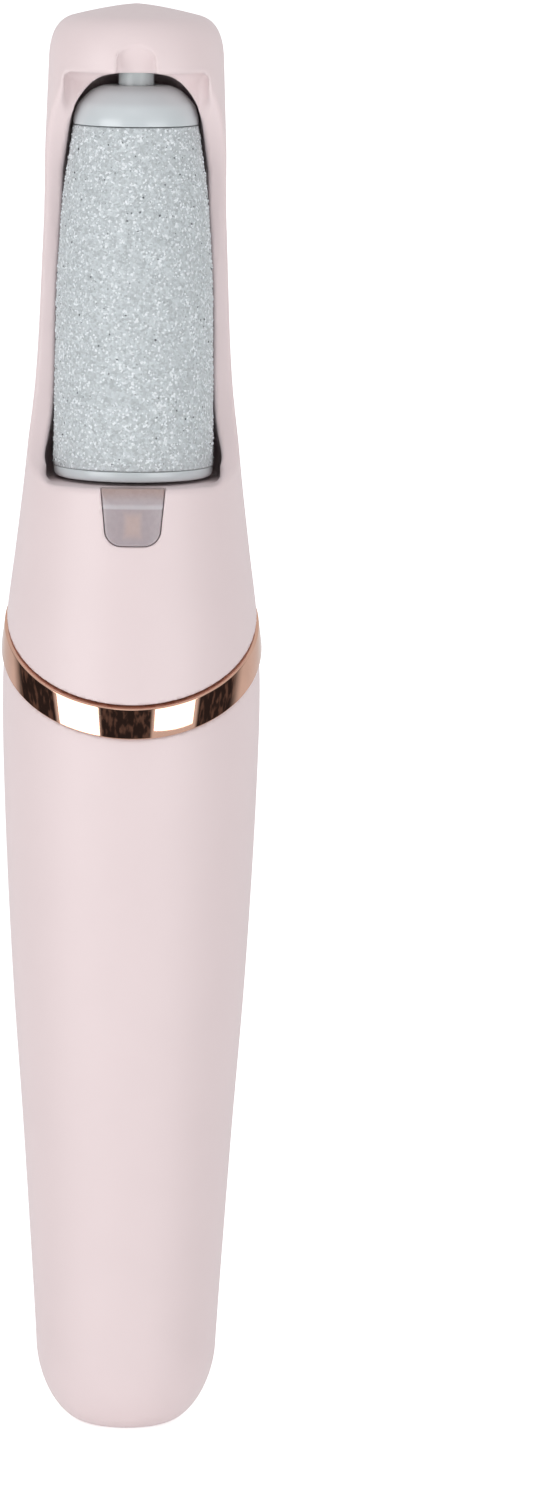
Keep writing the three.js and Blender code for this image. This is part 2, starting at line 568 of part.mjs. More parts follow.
function battery() {
  const cell = turned([[0, CELL_Z0], [6.6, CELL_Z0], [CELL_R, CELL_Z0 + 0.5], [CELL_R, CELL_Z1 - 1.5],
    [6.6, CELL_Z1 - 1], [2.6, CELL_Z1 - 1], [2.6, CELL_Z1 - 0.2], [0, CELL_Z1 - 0.2]], 24);
  add("battery_cell", cell.translate(0, CELL_Y, 0), "cell", { roughness: 0.35 });
  const strip = { roughness: 0.3, metalness: 1 };
  add("battery_tab_positive", block(-2, 2, CELL_Y - 2, 4.4, CELL_Z1, CELL_Z1 + 0.2), "steel", strip);
  add("battery_tab_negative", block(-2, 2, CELL_Y - 2, 4.4, CELL_Z0 - 0.35, CELL_Z0 - 0.15), "steel", strip);
}

function electronics() {
  const back = BOARD_Y + BOARD_THICK;
  add("main_board", block(-6, 6, BOARD_Y, back, 14, 69), "board");
  add("charge_ic", block(-2.5, 2.5, back + 0.1, back + 1.6, 32, 37), "black_plastic");
  add("charge_board", block(-4.6, 4.6, 1.75, 2.55, 2.6, 10.6), "board");
  const portShell = solid(block(-3.8, 3.8, -1.4, 1.45, 0.4, 6.4));
  const portMouth = solid(block(-3.5, 3.5, -1.1, 1.1, 0, 6));
  add("charge_port", portShell.subtract(portMouth), "steel", { roughness: 0.3, metalness: 1 });
  add("port_tongue", block(-2.6, 2.6, -0.35, 0.35, 1.2, 5.8), "black_plastic");
  const pipe = rod(0.8, 9.5, 14.3, 10).rotateX(-Math.PI / 2).translate(0, 0, 46);
  add("status_light_pipe", pipe, "lens", { roughness: 0.3 });
}

function powerSwitch() {
  const back = BOARD_Y + BOARD_THICK;
  const slot = block(-1.3, 1.3, back + 2, back + 5, SWITCH.z - 5.6, SWITCH.z + 5.4);
  const frame = block(-2.6, 2.6, back + 0.1, back + 3.6, SWITCH.z - 6.6, SWITCH.z + 6.4);
  const body = solid(frame).subtract(solid(slot));
  add("slide_switch_body", body, "steel", { roughness: 0.4, metalness: 1 });

  // Off is the low end of the travel, so the moving pieces rest half the travel below the middle.
  const carriage = new THREE.Group();
  carriage.position.set(0, SWITCH.y, SWITCH.z);
  carriage.rotation.x = -SWITCH.lean;
  part.add(carriage);
  const low = -SWITCH.travel / 2;
  let knob = solid(prismY(capsule(5.6, 9), 0.3, 1.5)).add(solid(block(-1.1, 1.1, -4.4, 0.5, -2.4, 2.4)));
  for (const rib of [-1.8, -0.6, 0.6, 1.8]) {
    knob = knob.add(solid(block(-2, 2, 1.2, 1.9, rib - 0.3, rib + 0.3)));
  }
  knob = knob.subtract(solid(block(-2, 2, -5, -2.2, -0.95, 0.95)));
  const lever = block(-0.7, 0.7, -5, -2.5, -0.65, 0.65);
  add("switch_knob", knob, "shell", { group: carriage }).position.z = low;
  add("switch_lever", lever, "black_plastic", { group: carriage }).position.z = low;
}

function chassis() {
  add("inner_chassis", innerChassis(), "white_plastic");
  for (const [i, x] of [-SCREW_CIRCLE, SCREW_CIRCLE].entries()) {
    screw(`chassis_screw_${i + 1}`, x, 0, 93.4, { head: 1.3, length: 9, sign: 1, headHeight: 1 });
  }
}

function wires() {
  for (const [side, colour] of [[-1, "red"], [1, "black"]]) {
    const x = side * 0.6;
    const lead = [[side * 3, 6.1, 67.2], [side * 3.4, 5.2, 68.4], [side * 3.8, 4.6, 69.6]];
    wire(`motor_wire_${colour}`, colour, lead);
    const run = [[side * 2.4, 6.1, 65.3], [side * 2.4, 0, 65.3], [side * 2.2, -5.5, 65.6],
      [side * 0.8, -11, 73], [x, -12.9, 84], [x, -13.7, 95], [x, -13.65, 105], [x, -13.3, 115.2],
      [side * 1.4, -11.4, 118.4]];
    wire(`led_wire_${colour}`, colour, run);
  }
  wire("battery_wire_red", "red", [[-1.5, 4.9, 64.6], [-1.5, 5.6, 65.1], [-1.5, 6.2, 66]]);
  wire("battery_wire_black", "black", [[1.5, 4.9, 14.5], [1.5, 5.6, 15.2], [1.5, 6.2, 16]]);
}

shells();
lamp();
roller();
gearbox();
motor();
chassis();
battery();
electronics();
powerSwitch();
wires();

export default part;
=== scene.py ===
"""Looks of the electric callus remover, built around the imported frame.

Shapes are worked out in millimetres and put into the scene in metres. The two shells, the lens and the
switch knob are each the zero surface of a signed distance field, so that every cut has a soft edge.
The turned pieces are profiles swept round the axis.
"""

import math

import bpy
import numpy as np
from mathutils import Matrix, Vector


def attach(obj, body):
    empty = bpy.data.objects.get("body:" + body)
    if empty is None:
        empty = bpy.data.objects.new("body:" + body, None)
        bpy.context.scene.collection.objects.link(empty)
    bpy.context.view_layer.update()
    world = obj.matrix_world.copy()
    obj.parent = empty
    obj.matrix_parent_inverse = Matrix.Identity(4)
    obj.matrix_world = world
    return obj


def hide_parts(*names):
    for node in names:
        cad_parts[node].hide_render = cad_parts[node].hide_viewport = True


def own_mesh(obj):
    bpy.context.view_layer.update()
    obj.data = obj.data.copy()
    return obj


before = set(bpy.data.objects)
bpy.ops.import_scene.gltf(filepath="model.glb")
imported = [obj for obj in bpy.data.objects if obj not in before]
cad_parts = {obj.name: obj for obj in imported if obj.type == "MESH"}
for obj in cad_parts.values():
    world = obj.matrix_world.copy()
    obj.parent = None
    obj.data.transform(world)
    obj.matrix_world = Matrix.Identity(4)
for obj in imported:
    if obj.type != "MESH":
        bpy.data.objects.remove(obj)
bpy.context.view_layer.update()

# ---- Driving dimensions, in millimetres, as in the CAD source ----
# A list of pairs is an outline: radius and height, or x and z for WINDOW_SIDE, or y and z for SCOOP and
# GROOVE_FLOOR. A pair of lists gives heights, and the value at each of them.

MM = 0.001
TOTAL_HEIGHT = 190
GAP = 0.3
FINE, CRISP, EASED, SOFT = 0.1, 0.15, 0.2, 0.3  # radii of edges

BASE_FLAT_R = 5.5
BASE_CORNER = (12.05, 11)
CORNER_POWER = 1.8
BARREL = [(12.05, 11), (12.6, 20), (13.95, 40), (15.45, 60), (16.55, 80), (17.08, 97), (16.75, 106),
          (15.75, 116)]
CAVITY = [(10.25, 11), (10.8, 20), (12.15, 40), (13.65, 60), (14.7, 78), (14.8, 90), (14.8, 118)]
CAVITY_FLOOR_R, CAVITY_FLOOR_Z = 4.5, 2
FOOT_R, FOOT_TOP = 10.2, 6
FLOOR_R, FLOOR_TOP = 8.6, 7
HEAD = [(17.33, 88), (17.26, 99), (16.6, 109), (15.5, 118), (14.45, 127), (13.6, 136), (12.95, 145),
        (12.53, 155), (11.97, 170), (11.5, 183)]
SHOULDER = [(11.5, 183), (11.4, 185.6), (10.7, 187.7), (8.6, 188.4)]
CROWN_R = 8.6
CROWN_Z = 188.4
CROWN_POWER = 1.4
TOP_R, TOP_Z = 9.6, 182

RING_R = 17.5
RING_SIDE = [(17.5, 85), (17.5, 99), (17.4, 102.5), (17.2, 106), (16.8, 109), (16.42, 111), (16.08, 114),
             (15.6, 118), (15.15, 122)]
RING_INNER_R = 14.85
SEAM_SLOPE = 0.6
RING_TOP = 109.3
RING_HEIGHT = 4
SPIGOT_OUTER, SPIGOT_INNER, SPIGOT_DOWN, SPIGOT_UP = 14.5, 13.65, 8, 3
LEAD_NOTCH_HALF_X, LEAD_NOTCH_Y, LEAD_NOTCH_HALF_Y, LEAD_NOTCH_TOP = 2, -14.1, 1.1, 106

SILL_Z = 127.4
BRIDGE_Z = 181.3
SILL_THICK = 2.2
WINDOW_FLOOR_Y = -3.5
POCKET = [(12, 127.4), (11.9, 130), (11.25, 132.8), (10.85, 136), (10.7, 141), (10.54, 151), (10.24, 158),
          (9.75, 166), (9.4, 171.4), (9.08, 175.1), (8.6, 177.05), (7.25, 179.2), (5.7, 180.6), (3.6, 181.3)]
WINDOW_SIDE = [(11.6, 127.4), (11.6, 130), (11.2, 132.8), (10.85, 136), (10.7, 141), (10.54, 151),
               (9.97, 163), (9.5, 172), (9.4, 181.3)]
WINDOW_MIDDLE_Z, WINDOW_TOP_CORNER, WINDOW_FOOT_CORNER = 150, 1.0, 1.3
WINDOW_FLOOR_EDGE = ([150, 170], [0.5, 1.6])
POCKET_DRAFT = ([168, 174], [0, 0.16])
POCKET_DRAFT_DEPTH = 4
OPENING_EDGE = ([130, 137, 166, 174], [0.8, 0.35, 0.4, 0.6])
SCOOP = [(-8.4, 127.9), (-4.8, 129.4), (-2, 131.4), (0.1, 134.2), (1.2, 138), (1.5, 142), (1.5, 148),
         (1.5, 155), (1.5, 162), (0.9, 166.5), (-0.6, 170.5), (-2.8, 174.2), (-5.2, 177.6), (-7.2, 180.4)]
SCOOP_EDGE_R = 0.6
SCOOP_LEAN, SCOOP_LEAN_X, SCOOP_LEAN_WIDTH = 0.2, 11, 3
HOLLOW = [(14.2, 80), (14.2, 113), (13.7, 118), (13.1, 123), (12.4, 125.2)]
AXLE_HOLE_R, AXLE_HOLE_TOP, AXLE_HOLE_HALF = 3.7, 185.2, 2.2
SPINDLE_HOLE_R, SPINDLE_HOLE_HALF = 5.8, 2
GROOVE_HALF, GROOVE_Z = 2.5, 182.7
GROOVE_FILLET, GROOVE_EDGE = 0.6, 0.45
GROOVE_FLOOR = [(-8.2, 179), (-8.6, 181.3), (-11.4, 185.4)]

ROLLER_Z0 = 127.8
SLEEVE_Z0 = 129.3
SLEEVE_Z1 = 174.1
SLEEVE = [(10.58, 129.3), (10.49, 137.6), (10.33, 151), (10.04, 157.6), (9.5, 165), (8.67, 171),
          (8.25, 174.1)]
SLEEVE_BORE = [(9.38, 129.3), (9.1, 151), (7.05, 174.1)]
GRIT_DEPTH, GRIT_LOW, GRIT_HIGH, GRIT_SINK = 0.022, -0.06, 0.05, 0.03
GRAIN_STAND = 0.15
FOOT_RING_INNER, FOOT_RING_OUTER, FOOT_RING_GAP = 4.5, 10.5, 0.1
CAP = [(8.25, 174.25), (8.15, 175.4), (7.7, 176.7), (7.1, 177.5), (5.9, 178.6), (4.6, 179.2), (3.7, 179.3)]
CAP_BORE = 2.55
STUB_R = 2.325
STUB_TOP = 184.2
COLLAR_R, COLLAR_Z0, COLLAR_Z1 = 3.3, 169.8, 171
SPRING_R, SPRING_WIRE_R, SPRING_Z0, SPRING_Z1, SPRING_TURNS = 2.4, 0.3, 160.6, 169.2, 5
AXIS_R = 0.01

SWITCH_Y, SWITCH_Z, SWITCH_LEAN, SWITCH_TRAVEL = 14.85, 62, math.atan(0.06), 5
WELL_WIDTH, WELL_LENGTH = 7.4, 18
SLOT_WIDTH, SLOT_LENGTH = 2.8, 11
SLOT_FLOOR_Y = 3
KNOB_WIDTH, KNOB_LENGTH = 5.6, 9
PAD_MIDDLE, PAD_HALF = 0.9, 0.6
RIB_PITCH, RIB_HALF, RIB_MIDDLE, RIB_HALF_HEIGHT = 1.2, 0.3, 1.45, 0.45
RIBS_HALF_LENGTH, RIBS_HALF_WIDTH = 2.2, 2
STEM_HALF_WIDTH, STEM_HALF_LENGTH, STEM_MIDDLE, STEM_HALF_HEIGHT = 1.1, 2.4, -1.95, 2.45
FORK_HALF_LENGTH, FORK_MIDDLE, FORK_HALF_HEIGHT = 0.95, -3.6, 1.4
PIPE_HOLE_R, PIPE_Z, PIPE_HOLE_Y = 0.95, 46, 8
PORT_HALF_X, PORT_HALF_Y, PORT_CORNER, PORT_TOP = 4, 1.65, 0.6, 3

LENS_TOP, LENS_BOTTOM, LENS_Z0, LENS_CORNER, LENS_BACK = 4.15, 3.45, 120, 1.9, -11.6
LENS_CLEARANCE = 0.09
CHAMFER_Y, CHAMFER_RISE, CHAMFER_RUN = -13.6, 2.5, 1.15


# ---- Camera ----

def camera():
    """The camera is a metre in front and a little above, and the object is left of the picture's middle."""
    distance, elevation, roll = 1.0, math.radians(8), math.radians(0.48)
    aim_right, aim_down = 0.01915, 0.00365
    target = Vector((0, 0, TOTAL_HEIGHT * MM / 2))
    back = Vector((0, -math.cos(elevation), math.sin(elevation)))
    right = Vector((math.cos(roll), 0, 0)) + math.sin(roll) * back.cross(Vector((1, 0, 0)))
    up = back.cross(right)
    place = target + distance * back
    aim = target + aim_right * right - aim_down * up
    back = (place - aim).normalized()
    right = up.cross(back).normalized()
    up = back.cross(right)
    data = bpy.data.cameras.new("camera")
    data.lens = 181
    data.sensor_width = 36
    data.clip_start, data.clip_end = 0.05, 100
    made = bpy.data.objects.new("camera", data)
    made.matrix_world = Matrix.Translation(place) @ Matrix((right, up, back)).transposed().to_4x4()
    bpy.context.scene.collection.objects.link(made)
    bpy.context.scene.camera = made


camera()


# ---- Outlines ----

def smooth(points, per_span=12):
    """Points on the Catmull-Rom curve through the given ones, as three.js draws it."""
    given = np.array(points, float)
    ends = np.vstack([given[:1], given, given[-1:]])
    t = np.linspace(0, 1, per_span, endpoint=False)[:, None]
    rows = []
    for before, start, stop, after in zip(ends, ends[1:], ends[2:], ends[3:]):
        leave, arrive = (stop - before) / 2, (after - start) / 2
        cubic = 2 * (start - stop) + leave + arrive
        square = 3 * (stop - start) - 2 * leave - arrive
        rows.append(cubic * t**3 + square * t**2 + leave * t + start)
    return np.vstack([*rows, given[-1:]])


def bezier(points, steps=16):
    """Points on the cubic curve with these four controls."""
    a, b, c, d = np.array(points, float)
    t = np.linspace(0, 1, steps + 1)[:, None]
    return (1 - t) ** 3 * a + 3 * (1 - t) ** 2 * t * b + 3 * (1 - t) * t**2 * c + t**3 * d


def base_corner(start, stop, steps=24):
    """The quarter turn at the foot, fuller or flatter than an ellipse by its power."""
    angle = np.linspace(0, math.pi / 2, steps + 1)
    along, across = np.cos(angle) ** (2 / CORNER_POWER), np.sin(angle) ** (2 / CORNER_POWER)
    return np.stack([stop[0] + (start[0] - stop[0]) * along, start[1] + (stop[1] - start[1]) * across], 1)


def dome(steps=24):
    """The crown's top, from its rim to the axis."""
    share = np.linspace(1, 0, steps + 1)
    return np.stack([CROWN_R * share, TOTAL_HEIGHT - (TOTAL_HEIGHT - CROWN_Z) * share**CROWN_POWER], 1)


class Curve:
    """v as a function of u, and how far a point lies above it, measured square to it."""

    def __init__(self, u, v):
        order = np.argsort(u, kind="stable")
        self.u, self.v = np.asarray(u, float)[order], np.asarray(v, float)[order]
        self.lean = 1 / np.sqrt(1 + np.gradient(self.v, self.u) ** 2)

    def above(self, u, v):
        return (v - np.interp(u, self.u, self.v)) * np.interp(u, self.u, self.lean)


def curve(points):
    """A Curve that gives the radius or half-width at each height."""
    points = np.asarray(points, float)
    return Curve(points[:, 1], points[:, 0])


# ---- Signed distance fields, in millimetres, below 0 in the material ----

def both(a, b, radius):
    """Where two solids overlap, with the edge between them rounded."""
    inner = np.minimum(np.maximum(a, b), -radius)
    return inner + np.hypot(np.maximum(a + radius, 0), np.maximum(b + radius, 0))


def joined(a, b, radius):
    """Two solids together, with the corner between them filled."""
    return -both(-a, -b, radius)


def without(a, b, radius):
    """The first solid less the second, with the edge of the cut rounded."""
    return both(a, -b, radius)


def seam(y, z, height):
    """How far a point is above the slanted plane of that height on the axis."""
    return (z - height - SEAM_SLOPE * y) / math.hypot(1, SEAM_SLOPE)


def capsule(x, z, width, length):
    """A slot shape with round ends, long in z."""
    radius = width / 2
    return np.hypot(x, np.maximum(np.abs(z) - (length / 2 - radius), 0)) - radius


HEAD_SIDE = curve(np.vstack([smooth(HEAD), bezier(SHOULDER)[1:]]))
HEAD_TOP = Curve(*np.vstack([bezier(SHOULDER)[2:], dome()[1:]]).T)
POCKET_SIDE = curve(smooth(POCKET, 6))
WINDOW_HALF = curve(smooth(WINDOW_SIDE, 6))
SCOOP_EDGE = curve(smooth(SCOOP, 6))
HOLLOW_SIDE = curve(HOLLOW)
GROOVE_DEPTH = curve(GROOVE_FLOOR)
FOOT = base_corner(BASE_CORNER, (BASE_FLAT_R, 0))
FOOT_INSIDE = base_corner(CAVITY[0], (CAVITY_FLOOR_R, CAVITY_FLOOR_Z))
BARREL_SIDE = curve(np.vstack([smooth(BARREL)[::-1], FOOT[1:-2]]))
BARREL_INSIDE = curve(np.vstack([smooth(CAVITY)[::-1], FOOT_INSIDE[1:-2]]))
BARREL_FOOT = Curve(*np.vstack([[(0, 0)], FOOT[::-1]]).T)
FOOT_FLOOR = Curve(*np.vstack([[(0, CAVITY_FLOOR_Z)], FOOT_INSIDE[::-1]]).T)


def head_outside(r, z):
    """The head's side, and near the axis its crown."""
    side = HEAD_SIDE.above(z, r)
    top = HEAD_TOP.above(r, z)
    return np.where((r < TOP_R) & (z > TOP_Z), top, side)


def head_shell(x, y, z, r):
    """The head housing before its window is cut: a hollow shell, the spigot under it and the leads' notch."""
    shell = both(head_outside(r, z), -seam(y, z, RING_TOP + GAP), EASED)
    hollow = both(HOLLOW_SIDE.above(z, r), z - (SILL_Z - SILL_THICK), SOFT)
    shell = without(shell, hollow, FINE)
    spigot = both(r - SPIGOT_OUTER, SPIGOT_INNER - r, FINE)
    spigot = both(spigot, seam(y, z, RING_TOP + SPIGOT_UP), FINE)
    spigot = both(spigot, -seam(y, z, RING_TOP - SPIGOT_DOWN), EASED)
    shell = joined(shell, spigot, FINE)
    notch = np.maximum(np.abs(y - LEAD_NOTCH_Y) - LEAD_NOTCH_HALF_Y, z - LEAD_NOTCH_TOP)
    return without(shell, np.maximum(np.abs(x) - LEAD_NOTCH_HALF_X, notch), FINE)


def scoop_field(x, y, z):
    """The air in front of the rails beside the window."""
    ends = np.maximum(SCOOP[0][1] - z, z - SCOOP[-1][1])
    leaning = y - SCOOP_LEAN * np.clip(np.abs(x) - SCOOP_LEAN_X, 0, SCOOP_LEAN_WIDTH)
    return both(SCOOP_EDGE.above(z, leaning), ends, FINE)


def opening_field(x, y, z, r):
    """The roller window and the pocket behind it."""
    height = np.maximum(SILL_Z - z, z - BRIDGE_Z)
    corner = np.where(z > WINDOW_MIDDLE_Z, WINDOW_TOP_CORNER, WINDOW_FOOT_CORNER)
    window = both(WINDOW_HALF.above(z, np.abs(x)), height, corner)
    window = both(window, y - WINDOW_FLOOR_Y, np.interp(z, *WINDOW_FLOOR_EDGE))
    draft = np.clip(y - WINDOW_FLOOR_Y, 0, POCKET_DRAFT_DEPTH) * np.interp(z, *POCKET_DRAFT)
    pocket = both(POCKET_SIDE.above(z, r) + draft, height, SOFT)
    return joined(window, pocket, CRISP)


def head_field(x, y, z):
    """The head housing with its window, the axle's groove, the lens seat and two holes on the axis."""
    r = np.hypot(x, y)
    shell = without(head_shell(x, y, z, r), scoop_field(x, y, z), SCOOP_EDGE_R)
    shell = without(shell, opening_field(x, y, z, r), np.interp(z, *OPENING_EDGE))

    arch = np.where(z > GROOVE_Z, np.hypot(x, z - GROOVE_Z), np.abs(x)) - GROOVE_HALF
    groove = both(arch, GROOVE_DEPTH.above(z, y), GROOVE_FILLET)
    shell = without(shell, np.maximum(groove, GROOVE_FLOOR[0][1] - z), GROOVE_EDGE)
    seat = both(lens_outline(x, z) - LENS_CLEARANCE, y - (LENS_BACK + GAP), FINE)
    shell = without(shell, np.maximum(seat, z - SILL_Z - 1), CRISP)
    axle = np.maximum(r - AXLE_HOLE_R, np.abs(z - (BRIDGE_Z + AXLE_HOLE_TOP) / 2) - AXLE_HOLE_HALF)
    spindle = np.maximum(r - SPINDLE_HOLE_R, np.abs(z - SILL_Z + SILL_THICK / 2) - SPINDLE_HOLE_HALF)
    return without(shell, np.minimum(axle, spindle), EASED)


def lens_outline(x, z):
    """The lamp lens seen from the front: straight sides that draw in a little, and a round foot."""
    side = np.abs(x) - np.interp(z, [LENS_Z0, SILL_Z], [LENS_BOTTOM, LENS_TOP])
    return both(side, LENS_Z0 - z, LENS_CORNER)


def lens_field(x, y, z):
    """The lens, flush with the head in front. Its upper edge slopes back to the sill."""
    body = both(lens_outline(x, z), y - LENS_BACK, CRISP)
    body = both(body, head_outside(np.hypot(x, y), z), EASED)
    body = both(body, z - SILL_Z, FINE)
    slant = (z - SILL_Z) * CHAMFER_RUN - (y - CHAMFER_Y) * CHAMFER_RISE
    return both(body, slant / math.hypot(CHAMFER_RUN, CHAMFER_RISE), 0.12)


def switch_frame(y, z, shift=0):
    """Height off the barrel's side, and place along it from a point `shift` above the slot's middle."""
    dy, dz = y - SWITCH_Y, z - SWITCH_Z
    sine, cosine = math.sin(SWITCH_LEAN), math.cos(SWITCH_LEAN)
    return dy * cosine - dz * sine, dy * sine + dz * cosine - shift


def handle_field(x, y, z):
    """The handle housing, with openings for the charging port, the charge light and the switch."""
    r = np.hypot(x, y)
    side = BARREL_SIDE.above(z, r)
    foot = -BARREL_FOOT.above(r, z)
    shell = np.where((r < FOOT_R) & (z < FOOT_TOP), foot, side)
    inside = BARREL_INSIDE.above(z, r)
    inner_floor = -FOOT_FLOOR.above(r, z)
    hollow = np.where((r < FLOOR_R) & (z < FLOOR_TOP), inner_floor, inside)
    shell = both(shell, seam(y, z, RING_TOP - RING_HEIGHT - GAP), EASED)
    shell = without(shell, hollow, FINE)
    port = both(np.abs(x) - PORT_HALF_X, np.abs(y) - PORT_HALF_Y, PORT_CORNER)
    shell = without(shell, np.maximum(port, z - PORT_TOP), 0.25)
    pipe = np.maximum(np.hypot(x, z - PIPE_Z) - PIPE_HOLE_R, PIPE_HOLE_Y - y)
    shell = without(shell, pipe, CRISP)
    off, along = switch_frame(y, z)
    well = both(capsule(x, along, WELL_WIDTH, WELL_LENGTH), -off, SOFT)
    shell = without(shell, well, 0.35)
    slot = np.maximum(capsule(x, along, SLOT_WIDTH, SLOT_LENGTH), SLOT_FLOOR_Y - y)
    return without(shell, slot, CRISP)


def knob_field(x, y, z):
    """The switch knob in its off position: a ribbed pad, and a forked stem that goes in through the slot."""
    off, along = switch_frame(y, z, -SWITCH_TRAVEL / 2)
    pad = both(capsule(x, along, KNOB_WIDTH, KNOB_LENGTH), np.abs(off - PAD_MIDDLE) - PAD_HALF, 0.35)
    rib = np.abs(np.mod(along + 2 * RIB_PITCH, RIB_PITCH) - RIB_PITCH / 2) - RIB_HALF
    rows = np.maximum(np.abs(along) - RIBS_HALF_LENGTH, rib)
    ribs = both(rows, np.abs(off - RIB_MIDDLE) - RIB_HALF_HEIGHT, EASED)
    ribs = both(ribs, np.abs(x) - RIBS_HALF_WIDTH, SOFT)
    bar = np.maximum(np.abs(off - STEM_MIDDLE) - STEM_HALF_HEIGHT, np.abs(along) - STEM_HALF_LENGTH)
    stem = np.maximum(np.abs(x) - STEM_HALF_WIDTH, bar)
    fork = np.maximum(np.abs(off - FORK_MIDDLE) - FORK_HALF_HEIGHT, np.abs(along) - FORK_HALF_LENGTH)
    return joined(joined(pad, ribs, CRISP), without(stem, fork, FINE), FINE)


# ---- Meshes from fields ----

def slope(field, p, reach=0.02):
    """The field's gradient at each point."""
    parts = []
    for axis in range(3):
        step = np.zeros(3)
        step[axis] = reach
        parts.append((field(*(p + step).T) - field(*(p - step).T)) / (2 * reach))
    return np.stack(parts, 1)


def settled(field, p, rounds=3):
    """The points moved onto the field's zero surface."""
    for _ in range(rounds):
        g = slope(field, p)
        p = p - g * (field(*p.T) / np.maximum((g * g).sum(1), 0.05))[:, None]
    return p


def sampled(field, low, high, step):
    """The field on a grid, worked out only near its zero surface. Elsewhere only the sign is right."""
    block = 4  # grid points along the side of a block
    near_blocks = 1.4  # how close to the surface a block's middle is, in block sides, for the block to count
    count = np.ceil((np.asarray(high, float) - low) / (block * step)).astype(int)
    middle = [low[i] + (np.arange(count[i]) + 0.5) * block * step for i in range(3)]
    coarse = field(*[m.ravel() for m in np.meshgrid(*middle, indexing="ij")]).reshape(count)
    values = np.sign(coarse) * block * step
    for axis in range(3):
        values = values.repeat(block, axis)
    near = np.argwhere(np.abs(coarse) < near_blocks * block * step)
    inner = np.argwhere(np.ones((block,) * 3))
    index = (near[:, None] * block + inner[None]).reshape(-1, 3)
    p = np.asarray(low) + index * step
    values[tuple(index.T)] = field(*p.T)
    return values


def contour(field, low, high, step):
    """Points and quads of the field's zero surface, by dual contouring.

    Each cell that the surface crosses gets one point, where the planes at its crossings come closest to
    meeting. `pull` draws it a little to the crossings' centre, and `slack` lets it leave the cell a little.
    """
    pull, slack = 0.05, 0.1
    values = sampled(field, low, high, step)
    inside = values < 0
    crossings, cells = [], []
    for axis in range(3):
        one = np.eye(3, dtype=int)
        ahead, u, v = one[axis], one[(axis + 1) % 3], one[(axis + 2) % 3]
        last = values.shape[axis] - 1
        changed = inside.take(range(last), axis) != inside.take(range(1, last + 1), axis)
        at = np.argwhere(changed)
        near, far = values[tuple(at.T)], values[tuple((at + ahead).T)]
        crossings.append(at + (near / (near - far))[:, None] * ahead)
        around = np.stack([at, at - u, at - u - v, at - v], 1)
        around[near >= 0] = around[near >= 0, ::-1]
        cells.append(np.ravel_multi_index(tuple(around.reshape(-1, 3).T), values.shape).reshape(-1, 4))
    crossings = np.vstack(crossings)
    names, quads = np.unique(np.vstack(cells), return_inverse=True)
    quads = quads.reshape(-1, 4)
    n = slope(field, np.asarray(low) + crossings * step)
    n /= np.maximum(np.linalg.norm(n, axis=1), 1e-6)[:, None]

    def gathered(per_crossing):
        return np.bincount(quads.ravel(), np.repeat(per_crossing, 4), len(names))

    number = gathered(np.ones(len(crossings)))
    centre = np.stack([gathered(crossings[:, i]) for i in range(3)], 1) / number[:, None]
    offset = (n * crossings).sum(1)
    matrix = np.stack([gathered(n[:, i] * n[:, j]) for i in range(3) for j in range(3)], 1).reshape(-1, 3, 3)
    right = np.stack([gathered(n[:, i] * offset) for i in range(3)], 1)
    matrix += pull * np.eye(3)
    right += pull * centre
    best = np.linalg.solve(matrix, right[:, :, None])[:, :, 0]
    cell = np.stack(np.unravel_index(names, values.shape), 1)
    best = np.clip(best, cell - slack, cell + 1 + slack)
    return np.asarray(low) + best * step, quads


def new_object(name, points, faces):
    """A mesh object from points in millimetres."""
    mesh = bpy.data.meshes.new(name)
    mesh.from_pydata((np.asarray(points) * MM).tolist(), [], np.asarray(faces).tolist())
    made = bpy.data.objects.new(name, mesh)
    bpy.context.scene.collection.objects.link(made)
    return made


def points_of(made):
    """The places of an object's points, in millimetres."""
    place = np.zeros(len(made.data.vertices) * 3)
    made.data.vertices.foreach_get("co", place)
    return place.reshape(-1, 3) / MM


def move_points(made, points):
    """Moves an object's points to new places, in millimetres."""
    made.data.vertices.foreach_set("co", (points * MM).ravel())


def thinned(made, share):
    """Fewer faces where the surface is nearly flat."""
    made.modifiers.new("thin", "DECIMATE").ratio = share
    bpy.context.view_layer.update()
    dense = made.data
    made.data = bpy.data.meshes.new_from_object(made.evaluated_get(bpy.context.evaluated_depsgraph_get()))
    made.modifiers.clear()
    bpy.data.meshes.remove(dense)


def carved(name, field, low, high, step, keep=1.0):
    """The mesh of a field, with the field's own normals."""
    points, quads = contour(field, low, high, step)
    made = new_object(name, settled(field, points), quads)
    if keep < 1:
        thinned(made, keep)
    p = settled(field, points_of(made), 2)
    move_points(made, p)
    n = slope(field, p)
    n /= np.maximum(np.linalg.norm(n, axis=1), 1e-6)[:, None]
    made.data.shade_smooth()
    made.data.normals_split_custom_set_from_vertices(n.tolist())
    made.data.name = name
    return made


def turned(name, profile, sides=160):
    """A closed profile of (radius, height) turned about Z."""
    r, z = np.array(profile, float).T
    count = len(r)
    angle = np.arange(sides) * 2 * math.pi / sides
    x = np.outer(np.sin(angle), r)
    y = np.outer(-np.cos(angle), r)
    points = np.stack([x, y, np.broadcast_to(z, x.shape)], 2).reshape(-1, 3)
    column = np.arange(count)
    following = (column + 1) % count
    faces = []
    for side in range(sides):
        here, there = side * count, (side + 1) % sides * count
        faces.append(np.stack([here + column, there + column, there + following, here + following], 1))
    made = new_object(name, points, np.vstack(faces))
    made.data.shade_smooth()
    return made


def rounded(profile, radius, steps=4):
    """A closed profile with its corners rounded. radius is one number or one for each corner."""
    corners = np.array(profile, float)
    radii = np.broadcast_to(radius, len(corners))
    made = []
    for i, corner in enumerate(corners):
        before, after = corners[i - 1] - corner, corners[(i + 1) % len(corners)] - corner
        if radii[i] == 0:
            made.append(corner)
            continue
        start = corner + before / np.linalg.norm(before) * radii[i]
        stop = corner + after / np.linalg.norm(after) * radii[i]
        for t in np.linspace(0, 1, steps + 1):
            made.append((1 - t) ** 2 * start + 2 * (1 - t) * t * corner + t**2 * stop)
    return made


# ---- Materials ----

